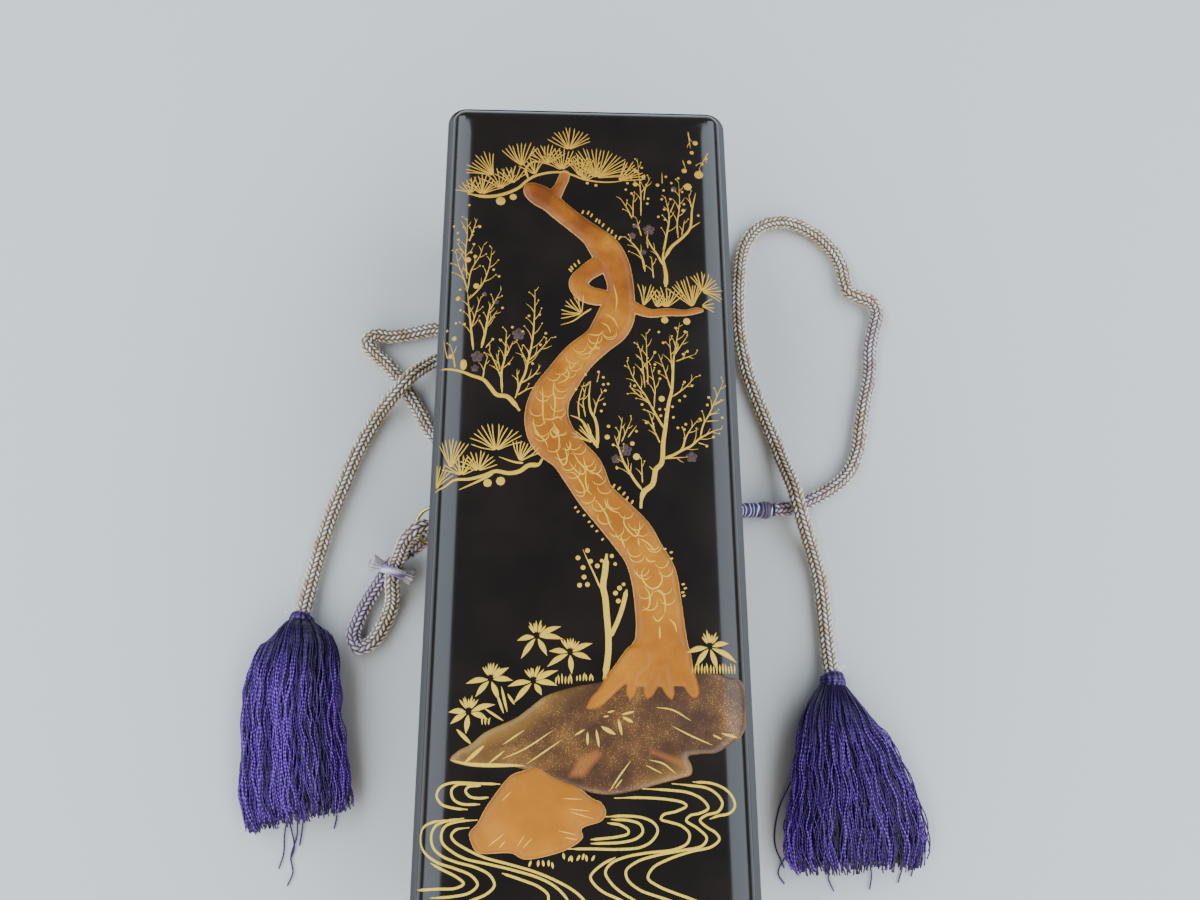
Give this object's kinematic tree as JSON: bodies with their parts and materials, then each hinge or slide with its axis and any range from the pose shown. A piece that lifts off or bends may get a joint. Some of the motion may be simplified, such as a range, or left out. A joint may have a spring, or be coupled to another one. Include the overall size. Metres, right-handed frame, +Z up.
{
  "type": "lacquer letter box",
  "caption": "Long lacquered wooden letter box with a deep crowned lid, a raised pine and rock on top, side rings, and braided silk cords with tassels.",
  "frame": {"origin": "middle of the underside of the box body, which stands on the table", "axes": "+Y along the box towards the top of the picture, +X to the right of the picture, +Z up out of the lid"},
  "size_m": [0.2372, 0.273, 0.0767],
  "materials": {
    "black_lacquer": "polished brown-black lacquer with gold powder drawing and raised ochre lacquer",
    "brass": "plain polished wire",
    "silk_braid": "round braid of beige and gold-white silk with purple-brown strands",
    "purple_silk": "deep violet twisted silk thread"
  },
  "bodies": {
    "root": {"lid": "black_lacquer", "box_body": "black_lacquer", "ring_staple_left": "brass", "ring_staple_right": "brass", "ring_left": "brass", "ring_right": "brass", "cord_left": "silk_braid", "cord_right": "silk_braid", "cord_loop_left": "silk_braid", "whipping_left": "purple_silk", "whipping_right": "purple_silk", "loop_binding_left": "purple_silk", "tassel_left": "purple_silk", "tassel_right": "purple_silk"}
  },
  "joints": []
}
